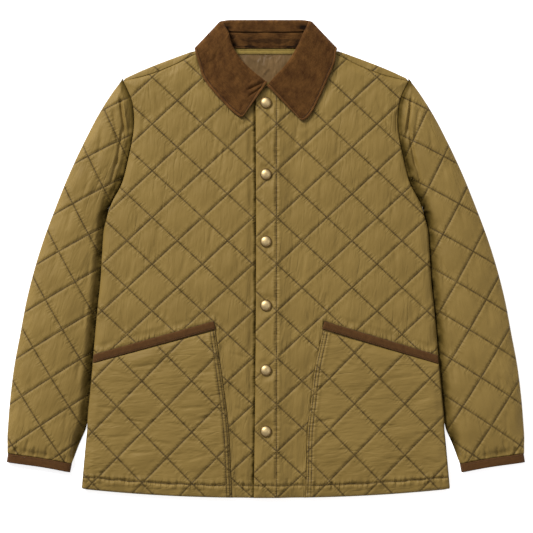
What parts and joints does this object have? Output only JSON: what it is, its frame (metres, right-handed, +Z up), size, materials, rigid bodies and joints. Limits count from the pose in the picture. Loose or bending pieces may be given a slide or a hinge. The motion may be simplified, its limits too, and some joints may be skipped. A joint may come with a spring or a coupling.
{
  "type": "quilted jacket",
  "caption": "Diamond-quilted jacket laid flat on its back, snapped shut, with a folded corduroy collar, patch pockets and bound cuffs.",
  "frame": {"origin": "centre of the jacket's bounding box on the surface that it lies on", "axes": "+X towards the wearer's left sleeve, +Y from the hem towards the collar, +Z up off the surface, out of the jacket's front"},
  "size_m": [0.8304, 0.7654, 0.0207],
  "materials": {
    "quilted shell": "satin polyamide cloth quilted in diamonds over thin wadding",
    "corduroy": "fine-wale cotton corduroy",
    "binding": "folded cotton tape",
    "lining": "smooth taupe lining cloth",
    "neck tape": "folded olive tape",
    "brass": "polished domed caps"
  },
  "bodies": {
    "root": {"back": "quilted shell", "back_lining": "lining", "neck_tape": "neck tape", "front_right": "quilted shell", "front_left": "quilted shell", "sleeve_right": "quilted shell", "sleeve_left": "quilted shell", "cuff_binding_right": "binding", "cuff_binding_left": "binding", "pocket_right": "quilted shell", "pocket_left": "quilted shell", "pocket_binding_right": "binding", "pocket_binding_left": "binding", "collar_stand": "corduroy", "collar_fall": "corduroy", "snap_1": "brass", "snap_2": "brass", "snap_3": "brass", "snap_4": "brass", "snap_5": "brass", "snap_6": "brass"}
  },
  "joints": []
}
